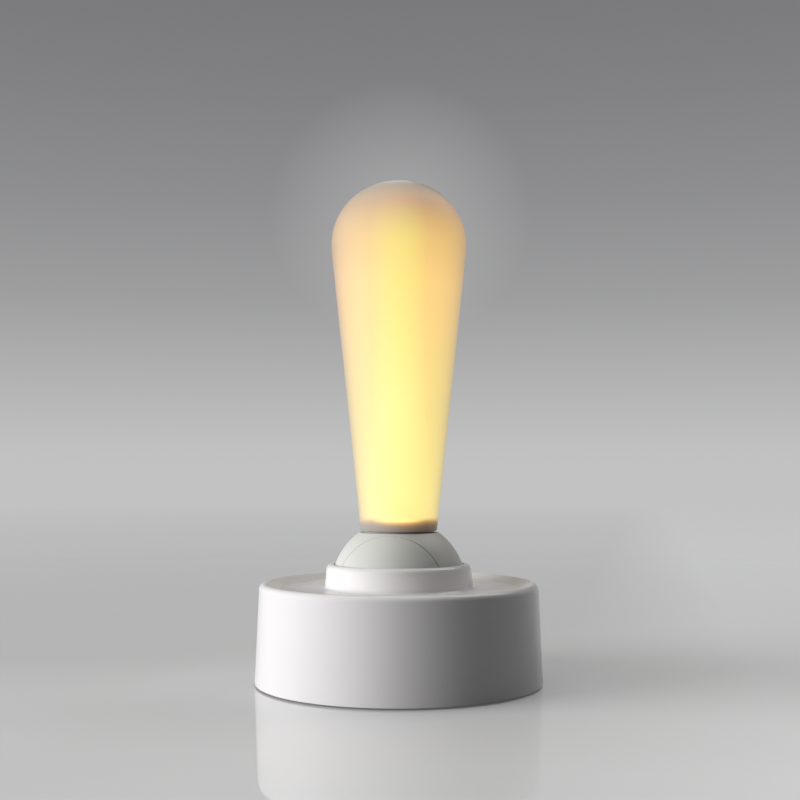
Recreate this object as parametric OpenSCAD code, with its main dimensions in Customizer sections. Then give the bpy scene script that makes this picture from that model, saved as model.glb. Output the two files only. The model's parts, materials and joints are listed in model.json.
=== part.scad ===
/* [Base drum] */
// Diameter of the drum at its foot
base_d = 80; // [77:0.5:96]
// Height of the rim above the table
base_h = 27.8; // [26.4:0.1:34]
// Inward lean of the drum wall, in degrees
base_draft = 2.3; // [0.5:0.1:4]
// Thickness of the drum wall
wall = 2.2; // [1.6:0.1:2.6]
// Radius of the rounded rim
rim_round = 1.7; // [1.2:0.1:2.2]
// Width of the rim, from its outside to the crease at the deck
rim_w = 5.5; // [4.5:0.1:9]
// Depth of the deck below the rim
deck_drop = 1.5; // [0.8:0.1:1.7]
// Thickness of the deck
deck_t = 2; // [1.6:0.1:2.4]

/* [Collar and ball] */
// Diameter of the ball
ball_d = 38; // [36:0.5:41]
// Width of the rocking slice of the ball
slice_w = 23.2; // [22:0.2:25]
// Wall thickness of the ball's pieces
ball_wall = 2; // [1.6:0.1:2.4]
// Chamfer along the seam between the slice and its cheeks
seam_chamfer = 0.1; // [0.1:0.05:0.6]
// Travel of the rocker to each side, in degrees
rock_angle = 16; // [8:1:18]
// Height of the collar above the deck
collar_h = 6.7; // [5:0.1:7.5]
// Wall of the collar at the deck
collar_wall = 1.45; // [1.3:0.05:2.4]
// Inward lean of the collar, in degrees
collar_draft = 5; // [1:0.5:6]
// Radius of the collar's top edge
collar_round = 1.6; // [0.5:0.1:1.8]
// Fillet where the collar meets the deck
collar_fillet = 0.9; // [0.4:0.1:2]

/* [Stick] */
// Diameter of the light stick at its foot
stick_foot_d = 21.4; // [19:0.1:23]
// Length of the light stick
stick_h = 98.8; // [70:0.2:130]
// Width by which the round head passes the ball, on each side
head_over = 0.2; // [-3:0.05:5]
// Radius of the small flat on top of the head
crown_flat = 1.05; // [0.5:0.05:4]
// Wall thickness of the light stick
stick_wall = 2; // [1.4:0.1:2.4]
// Ledge of the ball's flat top outside the stick
ledge = 0.45; // [0.2:0.05:1.5]
// Height of the shadow groove under the stick
foot_groove = 0.5; // [0.3:0.1:1]
// Depth of the shadow groove
groove_depth = 0.8; // [0.4:0.1:1]
// Height of the plug that holds the stick
plug_h = 3; // [2.8:0.1:6]
// Height of the snap bead round the plug
bead_h = 0.8; // [0.4:0.1:1]
// Overhang of the snap bead
bead_out = 0.6; // [0.3:0.1:0.8]

/* [Light] */
// Thickness of the light board
led_board_t = 1; // [0.8:0.1:1.6]
// Number of light chips in the ring
led_count = 6; // [4:1:8]
// Side of one light chip
led_side = 2.8; // [2:0.1:3.2]
// Height of one light chip
led_h = 0.7; // [0.5:0.1:1]

/* [Pivot] */
// Diameter of the pivot pin
pin_d = 3; // [2.4:0.1:3.4]
// Depth of the pin's seat in each cheek
pin_seat = 4; // [2.5:0.1:4.4]
// Wall of a pivot bush
bush_wall = 1.05; // [0.7:0.05:1.3]
// Length of a pivot bush
bush_l = 4; // [3:0.1:4.4]
// Diameter of a bush flange
bush_flange_d = 7; // [6:0.1:7.6]
// Thickness of a bush flange
bush_flange_t = 0.8; // [0.5:0.1:1.2]
// Diameter of the rocker's hub
hub_d = 8.6; // [8:0.1:9.4]
// Room between the hub halves for the spring
spring_room = 7.4; // [7:0.1:8]
// Wire diameter of the centring spring
spring_wire = 0.8; // [0.6:0.05:0.9]
// Diameter of the spring at the middle of its wire
spring_d = 5.2; // [4.8:0.1:5.6]
// Turns of the spring, to its two legs
spring_turns = 4.5; // [3.5:1:4.5]
// Thickness of the tail below the hub
tail_t = 2.4; // [1.6:0.1:2.6]
// Width of the tail
tail_w = 5; // [4:0.1:5.6]
// Diameter of the tail's round tip
tail_tip_d = 3; // [2.8:0.1:3.4]

/* [Cover and weight] */
// Thickness of the bottom cover
cover_t = 2.6; // [2.2:0.1:3]
// Thickness of the foot pad
pad_t = 1.6; // [1.2:0.1:1.8]
// Part of the foot pad below the cover
pad_proud = 0.4; // [0.2:0.1:0.8]
// Margin between the foot pad and the edge of the cover
pad_margin = 1.6; // [1:0.1:1.8]
// Thickness of the steel weight plate
plate_t = 2; // [1.6:0.1:2.4]
// Diameter of a screw boss for the cover
cover_boss_d = 9.4; // [9.2:0.1:10]

/* [Battery and board] */
// Width of the battery cell
cell_w = 34; // [24:1:36]
// Length of the battery cell
cell_l = 50; // [36:1:51]
// Thickness of the battery cell
cell_t = 4.6; // [3.6:0.1:5]
// Thickness of the main board
board_t = 1.6; // [1:0.1:2]
// Height of the slide switch
switch_h = 3.5; // [3.2:0.1:3.8]
// Width of the charging socket
port_w = 8.9; // [8.6:0.1:9.4]
// Height of the charging socket
port_h = 3.2; // [3:0.1:3.6]
// Length of the charging socket
port_l = 7.4; // [6.5:0.1:9]

/* [Clearances] */
// Gap between pieces that move past each other
run_gap = 0.3; // [0.2:0.05:0.4]
// Gap between the ball's slice and each cheek
seam_gap = 0.2; // [0.15:0.05:0.4]
// Gap between the pin and its bushes
pin_gap = 0.03; // [0.02:0.01:0.08]
// Gap round a piece in its seat
seat_gap = 0.15; // [0.05:0.05:0.2]
// Gap left at the end of the rocker's travel
stop_gap = 0.15; // [0.1:0.05:0.3]

/* [Hidden] */
$fn = 64;

// Overlap that joins two shapes of one moulding
weld = 0.2;
// Hair by which touching curves cross, so that they meet in a clean corner
hair = 0.001;
// Length that carries a cut clear of a face
past = 1;
// Length that is longer than any piece is wide
far = 200;

// Heights, from the table up
shell_z = pad_proud;
cover_top_z = shell_z + cover_t;
plate_top_z = cover_top_z + plate_t;
board_lift = 0.6;
board_z = plate_top_z + cell_t + board_lift;
board_top_z = board_z + board_t;
switch_top_z = board_top_z + switch_h;
deck_z = base_h - deck_drop;
deck_under_z = deck_z - deck_t;
ball_z = deck_z;
collar_top_z = deck_z + collar_h;

// The ball, its flat top and the socket that it turns in
ball_r = ball_d / 2;
socket_r = ball_r + run_gap;
slice_y = slice_w / 2;
cheek_y = slice_y + seam_gap;
ball_top_r = stick_foot_d / 2 + ledge;
ball_top_z = ball_z + side(ball_r, ball_top_r);
ball_inner_z = ball_top_z - ball_wall;
slice_drop = 2;
collar_r = socket_r + collar_wall;
skirt_h = 2;
skirt_z = deck_under_z - skirt_h;

// The stick and the plug in its foot
stick_z = ball_top_z + foot_groove;
stick_foot_r = stick_foot_d / 2;
crown_r = ball_r + head_over - crown_flat;
crown_z = stick_z + stick_h - crown_r;
plug_top_z = stick_z + plug_h;
plug_r = stick_foot_r - stick_wall - seat_gap;
groove_r = stick_foot_r - groove_depth;
bead_z = stick_z + (plug_h - bead_h) / 2;
led_board_margin = 0.5;
led_board_r = plug_r - led_board_margin;
led_margin = 1.2;
led_ring_r = led_board_r - led_side / 2 - led_margin;
lead_bore_d = 4;

// The drum wall and what stands inside it
base_r = base_d / 2;
cover_lip = 0.5;
inner_foot_r = base_r - cover_t * tan(base_draft) - wall;
cover_r = inner_foot_r + cover_lip;
pad_r = cover_r - pad_margin;
// The cover's bosses stand against the wall, clear of the cell's long sides
cover_boss_at = inner_foot_r - cover_boss_d / 2 + weld;
cover_boss_gap = 0.4;
cover_boss_x = cell_w / 2 + cover_boss_d / 2 + cover_boss_gap;
cover_boss_y = side(cover_boss_at, cover_boss_x);
cover_cup_step = 0.7;
cover_cup_d = cover_boss_d - 2 * cover_cup_step;
plate_margin = 1;
plate_r = inner_foot_r - plate_margin;

// Screws: pilot, shank, head and head height, by size
cover_screw = [2.6, 2.5, 4.4, 1.5];
small_screw = [2.2, 2.1, 3.8, 1.3];
screw_clear = 0.3;
boss_d = 5.4;
cross_w = 0.6;
cross_deep = 0.6;
cross_rim = 0.8;
cover_screw_l = 9;
cover_screw_seat = 1.4;
cover_screw_z = plate_top_z - seat_gap - cover_screw_seat;
board_screw_l = 7;

// Screws from inside the ball into the plug, which stays closed above them
plug_roof = 0.6;
plug_tip_gap = 0.3;
holder_screw_l = plug_top_z - plug_roof - plug_tip_gap - ball_inner_z;
holder_screw_margin = 0.6;
holder_screw_x = plug_r - small_screw[2] / 2 - holder_screw_margin;

// Sockets on the board for the two pairs of leads
lead_d = 1;
lead_spread = 1.8;
cell_socket = [6, 4.5, 2.6];
led_socket = [5, 5, 2.4];
led_socket_at = [11, 7.5];

// The cheeks' flanges, over the board's sockets, which hang on bosses under the deck
flange_lift = 2;
flange_t = 2.5;
flange_z = board_top_z + cell_socket.z + flange_lift;
flange_top_z = flange_z + flange_t;
flange_margin = 0.8;
flange_corner = 2;
cheek_screw_x = 9.5;
cheek_screw_y = side(collar_r + boss_d / 2 + seat_gap, cheek_screw_x);
cheek_tip_gap = 1.4;
cheek_screw_l = deck_under_z - flange_z - cheek_tip_gap;
flange_w = 2 * (cheek_screw_x + boss_d / 2 + flange_margin);
flange_y = cheek_screw_y + boss_d / 2 + flange_margin;

// The main board inside the ring of cover bosses, with its screws clear of the cell and the flanges
board_margin = 1.4;
board_r = cover_boss_at - cover_boss_d / 2 - board_margin;
tongue_w = 18;
tongue_y = side(inner_foot_r - board_margin, tongue_w / 2);
board_screw_gap = 0.5;
board_screw_margin = 0.4;
board_screw_x = board_screw_gap + max(cell_w / 2 + small_screw[2] / 2, flange_w / 2 + boss_d / 2);
board_screw_y = side(board_r - boss_d / 2 - board_screw_margin, board_screw_x);
cell_socket_margin = 1.2;
cell_socket_y = -(board_r - cell_socket.y / 2 - cell_socket_margin);

// Parts soldered on the board, between the bosses of its screws
part_gap = 0.7;
parts_x = board_screw_x - boss_d / 2 - part_gap;
driver_chip = [6, 6, 0.9];
driver_chip_y = -13;
charger_chip = [4, 5, 1.2];
charger_chip_y = 13;
coil_d = 5;
coil_h = 2;
coil_y = -12;
resistor = [1.6, 0.8, 0.8];
resistor_y = 9;
capacitor = [0.8, 1.6, 0.8];
capacitor_y = 8;
part_pitch = 1.8;

// The charging socket and its window in the rear wall
port_recess = 0.9;
port_z = board_top_z + port_h / 2;
port_mouth_y = base_r - (port_z - shell_z) * tan(base_draft) - port_recess;

// The hub halves, the spring between them and the tail under them
spring_front_y = bush_l - slice_y;
hub_split_y = spring_front_y + spring_room;
hub_clear = 0.5;
pin_boss_wall = 2;
pin_r = pin_d / 2;
bush_bore_r = pin_r + pin_gap;
bush_r = bush_bore_r + bush_wall;
bush_proud = 0.1;
spring_pitch = (spring_room - 2 * run_gap - spring_wire) / spring_turns;
leg_x = spring_d / 2;
leg_gap = 0.1;
leg_tip = 1.2;
dog_w = spring_d - spring_wire - 2 * leg_gap;
dog_t = 1.4;
dog_drop = 1.2;
dog_gap = 1;
moving_dog_top = spring_d / 2 + spring_wire / 2 + dog_drop;
fixed_dog_top = moving_dog_top + dog_t + dog_w / 2 * sin(rock_angle) + dog_gap;
fixed_dog_z = ball_z - fixed_dog_top - dog_t;
leg_l = fixed_dog_top + dog_t + leg_tip;
// Foot of the cheeks, which carry the flanges and the fixed post
cheek_low_z = min(flange_z, fixed_dog_z);

// The slide switch under the tail
tail_front_y = hub_split_y + weld;
tail_y = tail_front_y + tail_w / 2;
fork_floor_t = 0.5;
fork_floor_z = switch_top_z + fork_floor_t;
tail_tip_z = fork_floor_z + run_gap + tail_tip_d / 2;
tail_l = ball_z - tail_tip_z;
fork_rise = 0.8;
fork_top_z = tail_tip_z + fork_rise;
fork_play = 0.2;
fork_slot = tail_tip_d + 2 * fork_play;
fork_wall = 1.2;
fork_l = fork_slot + 2 * fork_wall;
fork_w = 3.2;
slider_travel = tail_l * rock_angle * PI / 180;
slider_neck_w = 2;
slider_plate_t = 1.2;
switch_floor = 0.8;
switch_wall = 0.8;
switch_slot_l = fork_l + 2 * (slider_travel + run_gap);
switch_end = 0.6;
switch_l = switch_slot_l + 2 * (switch_wall + switch_end);
switch_w = 5.2;

// The stops under the slice's flat sides, met at the end of its travel
stop_w = 3;
stop_l = 3;
stop_h = 2.5;
stop_margin = 1.2;
stop_in_x = side(ball_r, slice_y) - stop_w - stop_margin;
stop_drop = (stop_in_x + stop_w) * tan(rock_angle) + slice_drop / cos(rock_angle) + stop_gap;

// Bends of the light's leads, from the middle of the ball
led_lead_bends = [
    [0, 0, 10], [1, 1, 8.5], [3, 2.5, 7], [5.5, 4, 5.5], [7, 5.2, 3.5], [7.8, 6, 1],
    [8.2, 6.5, -2], [8.8, 6.9, -5], [10, 7.3, -7.5]
];
led_lead_end = 2;

// Other side of a right triangle
function side(long, short) = sqrt(long * long - short * short);
// Point where a line from p touches a circle at c, on the side that is asked for
function touch(p, c, r, side) =
    let (turn = atan2(p.y - c.y, p.x - c.x) + side * acos(r / norm(p - c)))
    c + r * [cos(turn), sin(turn)];
// Distance from the axis of a circle that touches a leaning wall from inside
function nestle(foot, draft, r, z) = foot.x - (r + (z - foot.y) * sin(draft)) / cos(draft);
// Radius of the drum's outside at a height
function drum_r(z) = base_r - (z - shell_z) * tan(base_draft);

// Places: at the middle of the ball, along Y, turned about the pivot, and in pairs and fours
module on_ball() {
    translate([0, 0, ball_z]) children();
}
module along_y() {
    rotate([-90, 0, 0]) children();
}
module turn_on_y() {
    on_ball() along_y() rotate_extrude() children();
}
module at_sides(x) {
    for (sx = [-1, 1]) translate([sx * x, 0, 0]) children();
}
module at_corners(x, y) {
    for (sx = [-1, 1], sy = [-1, 1]) translate([sx * x, sy * y, 0]) children();
}
module at_cover_bosses() {
    at_corners(cover_boss_x, cover_boss_y) children();
}

// Round bar on the pivot's axis
module pin_shape(d, from, to) {
    on_ball() translate([0, from, 0]) along_y() cylinder(d = d, h = to - from);
}
// Upright round bar between two heights
module post(d, from, to) {
    translate([0, 0, from]) cylinder(d = d, h = to - from);
}
// Box that stands on a point
module block(size, at) {
    translate(at - [size.x / 2, size.y / 2, 0]) cube(size);
}

// Rounded rectangle about the origin
module soft_square(w, l, r) {
    square([w - 2 * r, l], center = true);
    square([w, l - 2 * r], center = true);
    at_corners(w / 2 - r, l / 2 - r) circle(r = r);
}

// Slot outline with round ends, about the origin
module stadium(w, h) {
    square([w - h, h], center = true);
    at_sides((w - h) / 2) circle(d = h);
}

// Screw with its head's seat at z, pointing up
module screw(kind, l, z) {
    cross_l = kind[2] - 2 * cross_rim;
    cross_z = z - kind[3] - past;
    post(kind[1], z - weld, z + l);
    difference() {
        post(kind[2], z - kind[3], z);
        block([cross_l, cross_w, cross_deep + past], [0, 0, cross_z]);
        block([cross_w, cross_l, cross_deep + past], [0, 0, cross_z]);
    }
}

// Round tube along a row of points
function unit(v) = v / norm(v);
function heading(path, i) = unit(path[min(i + 1, len(path) - 1)] - path[max(i - 1, 0)]);
function tube_ring(path, i, r, sides, hint) =
    let (go = heading(path, i), u = unit(cross(hint, go)), v = cross(go, u))
    [for (k = [0 : sides - 1]) path[i] + r * (cos(360 * k / sides) * u + sin(360 * k / sides) * v)];
module tube(path, d, hint, sides = 8) {
    last = (len(path) - 1) * sides;
    points = [for (i = [0 : len(path) - 1]) each tube_ring(path, i, d / 2, sides, hint)];
    skin = [for (i = [0 : len(path) - 2], k = [0 : sides - 1])
        let (a = i * sides + k, b = i * sides + (k + 1) % sides)
        each [[a, a + sides, b], [b, a + sides, b + sides]]];
    caps = [for (k = [1 : sides - 2]) each [[0, k, k + 1], [last, last + k + 1, last + k]]];
    polyhedron(points = points, faces = concat(skin, caps));
}

// Half outline of the drum, with its round rim and the slope down to the deck
module drum_profile() {
    foot = [base_r, shell_z];
    rim_z = base_h - rim_round;
    rim = [nestle(foot, base_draft, rim_round, rim_z), rim_z];
    crease = [drum_r(base_h) - rim_w, deck_z];
    translate(rim) circle(r = rim_round);
    polygon([
        [0, shell_z], foot, rim + (rim_round - hair) * [cos(base_draft), sin(base_draft)], rim,
        touch(crease, rim, rim_round - hair, -1), crease, [0, deck_z]
    ]);
}

// Half outline of the collar, with its round lip, the fillet at its foot and the skirt below the deck
module collar_profile() {
    foot = [collar_r, deck_z];
    lip_z = collar_top_z - collar_round;
    lip = [nestle(foot, collar_draft, collar_round, lip_z), lip_z];
    bend = [nestle(foot, collar_draft, -collar_fillet, deck_z + collar_fillet), deck_z + collar_fillet];
    wall_touch = bend - collar_fillet * [cos(collar_draft), sin(collar_draft)];
    translate(lip) circle(r = collar_round);
    polygon([
        [0, skirt_z], [collar_r, skirt_z], foot,
        lip + (collar_round - hair) * [cos(collar_draft), sin(collar_draft)],
        lip, [lip.x, collar_top_z - hair], [0, collar_top_z - hair]
    ]);
    difference() {
        polygon([
            wall_touch, wall_touch - [weld, 0], [wall_touch.x - weld, deck_z - weld],
            [bend.x, deck_z - weld], [bend.x, deck_z]
        ]);
        translate(bend) circle(r = collar_fillet + hair);
    }
}

// Half outline of the room inside the drum and the socket for the ball
module hollow_profile() {
    polygon([
        [0, -past], [cover_r + seat_gap, -past], [cover_r + seat_gap, cover_top_z],
        [inner_foot_r, cover_top_z], [drum_r(deck_under_z) - wall, deck_under_z],
        [collar_r, deck_under_z], [collar_r, skirt_z], [0, skirt_z]
    ]);
    translate([0, skirt_z - past]) square([socket_r - hair, ball_z - skirt_z + past]);
    intersection() {
        translate([0, ball_z]) circle(r = socket_r);
        translate([0, ball_z - past]) square([far, far]);
    }
}

module base_shell() {
    color("white") difference() {
        union() {
            rotate_extrude() difference() {
                union() {
                    drum_profile();
                    collar_profile();
                }
                hollow_profile();
            }
            at_cover_bosses() post(cover_boss_d, plate_top_z, deck_under_z + weld);
            at_corners(board_screw_x, board_screw_y) post(boss_d, board_top_z, deck_under_z + weld);
            at_corners(cheek_screw_x, cheek_screw_y) post(boss_d, flange_top_z, deck_under_z + weld);
        }
        at_cover_bosses() post(cover_screw[0], plate_top_z - past, deck_under_z - past);
        at_corners(board_screw_x, board_screw_y)
            post(small_screw[0], board_top_z - past, deck_under_z - past);
        at_corners(cheek_screw_x, cheek_screw_y) post(small_screw[0], flange_top_z - past, deck_under_z);
        translate([0, base_r - 2 * wall - port_recess, port_z]) along_y()
            linear_extrude(far) stadium(port_w + 2 * seat_gap, port_h + 2 * seat_gap);
    }
}

module bottom_cover() {
    color("gainsboro") difference() {
        union() {
            post(2 * cover_r, shell_z, cover_top_z);
            at_cover_bosses() post(cover_cup_d, cover_top_z - weld, plate_top_z - seat_gap);
        }
        post(2 * (pad_r + seat_gap), shell_z - past, pad_t);
        at_cover_bosses() post(cover_screw[2] + 2 * screw_clear, shell_z - past, cover_screw_z);
        at_cover_bosses() post(cover_screw[0] + screw_clear, shell_z, plate_top_z);
    }
}

module foot_pad() {
    ring_w = 1.2;
    ring_deep = 0.4;
    ring_inset = [2.9, 5.1];
    color("dimgray") difference() {
        post(2 * pad_r, 0, pad_t);
        for (inset = ring_inset) difference() {
            post(2 * (pad_r - inset) + ring_w, -past, ring_deep);
            post(2 * (pad_r - inset) - ring_w, -2 * past, ring_deep + past);
        }
    }
}

module cover_screws() {
    color("silver") at_cover_bosses() screw(cover_screw, cover_screw_l, cover_screw_z);
}

module weight_plate() {
    color("slategray") difference() {
        post(2 * plate_r, cover_top_z, plate_top_z);
        at_cover_bosses() post(cover_cup_d + 2 * seat_gap, cover_top_z - past, plate_top_z + past);
    }
}

// Flat pouch cell with its folded seam at the end that the leads leave
module battery_cell() {
    corner = 1.5;
    seam_l = 3;
    seam_t = 1.4;
    seam_inset = 2;
    seam_z = plate_top_z + (cell_t - seam_t) / 2;
    color("silver") {
        translate([0, seam_l / 2, plate_top_z]) linear_extrude(cell_t)
            soft_square(cell_w, cell_l - seam_l, corner);
        block([cell_w - 2 * seam_inset, seam_l + weld, seam_t], [0, (seam_l + weld - cell_l) / 2, seam_z]);
    }
}

// Two leads that bend round the front edge of the board into their socket
module battery_leads() {
    lead_out = 0.4;
    edge_gap = 1.9;
    low_z = plate_top_z + cell_t / 2;
    high_z = board_top_z + cell_socket.z / 2;
    bend_r = (high_z - low_z) / 2;
    bend_y = -max(cell_l / 2 + lead_out, board_r + edge_gap + lead_d / 2 - bend_r);
    socket_front_y = cell_socket_y - cell_socket.y / 2;
    color("firebrick") at_sides(lead_spread / 2) {
        translate([0, bend_y, low_z]) along_y() cylinder(d = lead_d, h = -cell_l / 2 - bend_y);
        translate([0, bend_y, high_z]) along_y() cylinder(d = lead_d, h = socket_front_y - bend_y);
        translate([0, bend_y, low_z + bend_r]) rotate([0, -90, 0]) rotate_extrude(angle = 180, start = 180)
            translate([bend_r, 0]) circle(d = lead_d);
    }
}

module main_board() {
    color("seagreen") translate([0, 0, board_z]) linear_extrude(board_t) difference() {
        union() {
            circle(r = board_r);
            translate([-tongue_w / 2, 0]) square([tongue_w, tongue_y]);
        }
        at_corners(board_screw_x, board_screw_y) circle(d = small_screw[0] + screw_clear);
    }
}

// Chips, coil and lead sockets soldered on the board
module board_components() {
    color("dimgray") {
        block(driver_chip, [parts_x - driver_chip.x / 2, driver_chip_y, board_top_z]);
        block(charger_chip, [charger_chip.x / 2 - parts_x, charger_chip_y, board_top_z]);
        translate([coil_d / 2 - parts_x, coil_y, 0]) post(coil_d, board_top_z, board_top_z + coil_h);
        for (k = [0 : 3])
            block(resistor, [parts_x - resistor.x / 2, resistor_y + k * part_pitch, board_top_z]);
        for (k = [0 : 2])
            block(capacitor, [capacitor.x / 2 - parts_x + k * part_pitch, capacitor_y, board_top_z]);
    }
    color("ivory") {
        block(cell_socket, [0, cell_socket_y, board_top_z]);
        block(led_socket, [led_socket_at.x, led_socket_at.y, board_top_z]);
    }
}

module charging_socket() {
    skin = 0.3;
    back_t = 1;
    tongue_inset = 0.85;
    tongue_short = 1.1;
    tongue_t = 0.7;
    back_y = port_mouth_y - port_l;
    tongue = [port_w - 2 * (skin + tongue_inset), port_l - back_t - tongue_short + weld, tongue_t];
    color("silver") translate([0, back_y, port_z]) along_y() difference() {
        linear_extrude(port_l) stadium(port_w, port_h);
        translate([0, 0, back_t]) linear_extrude(port_l) stadium(port_w - 2 * skin, port_h - 2 * skin);
    }
    color("black") translate([-tongue.x / 2, back_y + back_t - weld, port_z - tongue.z / 2]) cube(tongue);
}

module board_screws() {
    color("silver") at_corners(board_screw_x, board_screw_y) screw(small_screw, board_screw_l, board_z);
}

// Can of the slide switch, open along the top for the slider
module switch_body() {
    room_z = board_top_z + switch_floor;
    room = [switch_l - 2 * switch_wall, switch_w - 2 * switch_wall, slider_plate_t + 2 * seat_gap];
    color("gray") translate([0, tail_y, 0]) difference() {
        block([switch_l, switch_w, switch_h], [0, 0, board_top_z]);
        block(room, [0, 0, room_z]);
        block([switch_slot_l, slider_neck_w + 2 * seat_gap, switch_h], [0, 0, room_z]);
    }
}

// Slider with the fork that the tail's tip moves
module switch_slider() {
    plate_z = board_top_z + switch_floor + seat_gap;
    plate_l = switch_l - 2 * switch_wall - 2 * (slider_travel + run_gap);
    color("black") translate([0, tail_y, 0]) {
        block([plate_l, switch_w - 2 * switch_wall - 2 * seat_gap, slider_plate_t], [0, 0, plate_z]);
        block([fork_l, slider_neck_w, fork_floor_z - plate_z], [0, 0, plate_z]);
        difference() {
            block([fork_l, fork_w, fork_top_z - switch_top_z - seat_gap], [0, 0, switch_top_z + seat_gap]);
            block([fork_slot, fork_w + past, far], [0, 0, fork_floor_z]);
        }
    }
}

// Half outline of a cheek's cap, turned about the pivot: flat face at the seam, round outside
module cap_profile(r, from, chamfer) {
    edge = side(r, from);
    intersection() {
        circle(r = r);
        polygon([
            [0, from], [edge - chamfer, from],
            [edge - chamfer, from] + r * [1 - from / r, edge / r], [0, from + edge]
        ]);
    }
}

// Half of the ball above its equator and a straight column below it, beyond the seam
module cheek_form(r, from, chamfer, low_z) {
    intersection() {
        turn_on_y() cap_profile(r, from, chamfer);
        translate([-far / 2, 0, ball_z - past]) cube(far);
    }
    intersection() {
        post(2 * (r - hair), low_z, ball_z);
        translate([-far / 2, from, low_z - past]) cube(far);
    }
}

// One fixed side of the ball: it carries the pin and hangs on two bosses under the deck
module cheek() {
    pin_end_y = cheek_y + pin_seat;
    difference() {
        union() {
            difference() {
                cheek_form(ball_r, cheek_y, seam_chamfer, cheek_low_z);
                cheek_form(ball_r - ball_wall, cheek_y + ball_wall, 0, cheek_low_z - past);
            }
            intersection() {
                pin_shape(pin_d + 2 * pin_boss_wall, cheek_y, ball_r);
                cheek_form(ball_r - weld, cheek_y, 0, cheek_low_z);
            }
            translate([0, (cheek_y + flange_y) / 2, flange_z]) linear_extrude(flange_t)
                soft_square(flange_w, flange_y - cheek_y, flange_corner);
            at_sides(stop_in_x + stop_w / 2)
                block([stop_w, stop_l + ball_wall, stop_h],
                    [0, cheek_y + (ball_wall - stop_l) / 2, ball_z - stop_drop - stop_h]);
        }
        pin_shape(pin_d + 2 * pin_gap, cheek_y - past, pin_end_y);
        at_sides(cheek_screw_x) translate([0, cheek_screw_y, 0])
            post(small_screw[0] + screw_clear, flange_z - past, flange_top_z + past);
    }
}

// The front cheek also holds the post that the spring's legs close on
module front_cheek() {
    dog_l = cheek_y + hub_split_y - run_gap;
    color("gainsboro") {
        mirror([0, 1, 0]) cheek();
        block([dog_w, dog_l + ball_wall, dog_t],
            [0, (dog_l - ball_wall) / 2 - cheek_y, fixed_dog_z]);
    }
}

module rear_cheek() {
    color("gainsboro") cheek();
}

module cheek_screws() {
    color("silver") at_corners(cheek_screw_x, cheek_screw_y) screw(small_screw, cheek_screw_l, flange_z);
}

module pivot_pin() {
    end_y = cheek_y + pin_seat - seat_gap;
    color("silver") pin_shape(pin_d, -end_y, end_y);
}

module pivot_bushes() {
    color("goldenrod") for (end = [0, 1]) mirror([0, end, 0]) difference() {
        union() {
            pin_shape(2 * bush_r, slice_y - bush_l, slice_y);
            pin_shape(bush_flange_d, slice_y - bush_flange_t, slice_y + bush_proud);
        }
        pin_shape(2 * bush_bore_r, 0, far);
    }
}

// Half outline of the slice, turned about the pivot
module slice_profile(r, y, chamfer) {
    edge = side(r, y);
    reach = [edge - chamfer, y] + y / 2 * [1 + y / r, -edge / r];
    intersection() {
        circle(r = r);
        polygon([
            [0, -y], [edge - chamfer, -y], [reach.x, -reach.y], reach, [edge - chamfer, y], [0, y]
        ]);
    }
}

// The rocking slice: a hollow arch with a hub in two halves, the tail and the spring's moving post
module rocker_ball() {
    moving_dog_l = tail_front_y + weld - spring_front_y;
    color("gainsboro") difference() {
        union() {
            difference() {
                turn_on_y() slice_profile(ball_r, slice_y, seam_chamfer);
                intersection() {
                    turn_on_y() slice_profile(ball_r - ball_wall, slice_y - ball_wall, 0);
                    translate([-far / 2, -far / 2, ball_inner_z - far]) cube(far);
                }
                translate([-far / 2, -far / 2, ball_top_z]) cube(far);
                translate([-far / 2, -far / 2, ball_z - slice_drop - far]) cube(far);
            }
            pin_shape(hub_d, hub_split_y, slice_y);
            pin_shape(hub_d, -slice_y, spring_front_y);
            block([tail_t, tail_w, tail_l], [0, tail_y, tail_tip_z]);
            translate([0, tail_front_y, tail_tip_z]) along_y() cylinder(d = tail_tip_d, h = tail_w);
            block([dog_w, moving_dog_l, dog_t],
                [0, spring_front_y + moving_dog_l / 2, ball_z - moving_dog_top - dog_t]);
        }
        pin_shape(pin_d + 2 * hub_clear, -far, far);
        for (end = [0, 1]) mirror([0, end, 0]) {
            pin_shape(2 * bush_r + 2 * pin_gap, slice_y - bush_l - seat_gap, far);
            pin_shape(bush_flange_d + 2 * seat_gap, slice_y - bush_flange_t - pin_gap, far);
        }
        post(lead_bore_d, ball_inner_z - past, ball_top_z + past);
        at_sides(holder_screw_x) post(small_screw[0] + screw_clear, ball_inner_z - past, ball_top_z + past);
    }
}

// Torsion spring round the pin, with two legs that hang down on each side of the posts
module centring_spring() {
    steps = 12;
    front_y = spring_front_y + run_gap + spring_wire / 2;
    coil = [for (i = [0 : steps * spring_turns]) let (turn = 360 * i / steps)
        [leg_x * cos(turn), front_y + spring_pitch * turn / 360, leg_x * sin(turn)]];
    back_y = front_y + spring_pitch * spring_turns;
    path = concat([[leg_x, front_y, -leg_l], [leg_x, front_y, -leg_x]], coil,
        [[-leg_x, back_y, -leg_x], [-leg_x, back_y, -leg_l]]);
    color("silver") on_ball() tube(path, spring_wire, [0, 1, 0]);
}

// Plug that the stick snaps on, screwed to the flat top of the slice
module led_holder() {
    color("white") difference() {
        union() {
            post(2 * groove_r, ball_top_z, stick_z);
            post(2 * plug_r, stick_z - weld, plug_top_z);
            post(2 * (plug_r + bead_out), bead_z, bead_z + bead_h);
        }
        post(lead_bore_d, ball_top_z - past, plug_top_z + past);
        at_sides(holder_screw_x) post(small_screw[0], ball_top_z - past, plug_top_z - plug_roof);
    }
}

module holder_screws() {
    color("silver") at_sides(holder_screw_x) screw(small_screw, holder_screw_l, ball_inner_z);
}

module led_board() {
    color("whitesmoke") post(2 * led_board_r, plug_top_z, plug_top_z + led_board_t);
}

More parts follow.
